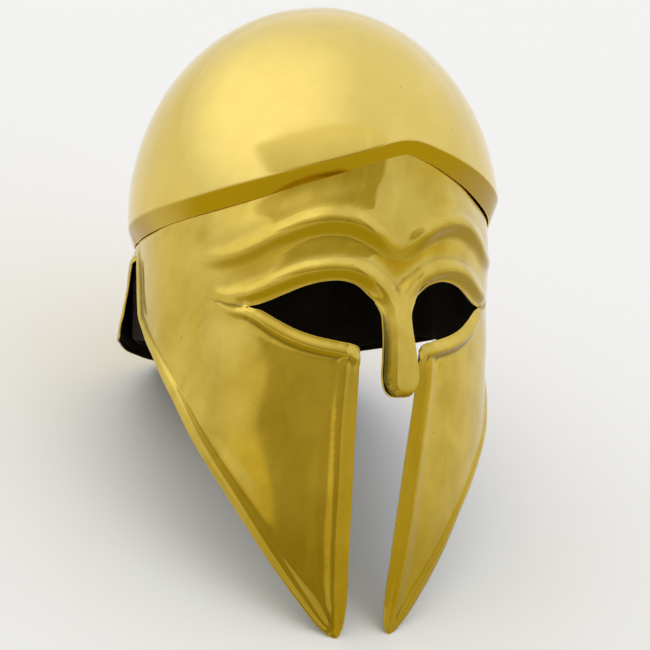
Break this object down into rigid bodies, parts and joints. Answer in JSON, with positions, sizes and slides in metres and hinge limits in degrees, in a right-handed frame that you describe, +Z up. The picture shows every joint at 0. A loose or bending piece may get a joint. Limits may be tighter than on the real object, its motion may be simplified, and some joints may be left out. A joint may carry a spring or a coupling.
{
  "type": "italo-corinthian helmet",
  "caption": "Polished brass Italo-Corinthian helmet: round skull bowl over an embossed face guard with nasal, long cheeks, flared neck guard and dark lining.",
  "frame": {"origin": "centre of the bounding box on the ground, under the helmet as it rests by itself on its two cheek tips and the rear edge of its neck guard", "axes": "-Y is the way the face looks, tilted upward by the lean, +X is the wearer's left, +Z up"},
  "size_m": [0.225, 0.3298, 0.2812],
  "materials": {
    "polished_brass": "polished, with darker tarnish in the creases",
    "dark_leather": "matt suede side, near black"
  },
  "bodies": {
    "root": {"skull_bowl": "polished_brass", "face_guard": "polished_brass", "lining": "dark_leather"}
  },
  "joints": []
}
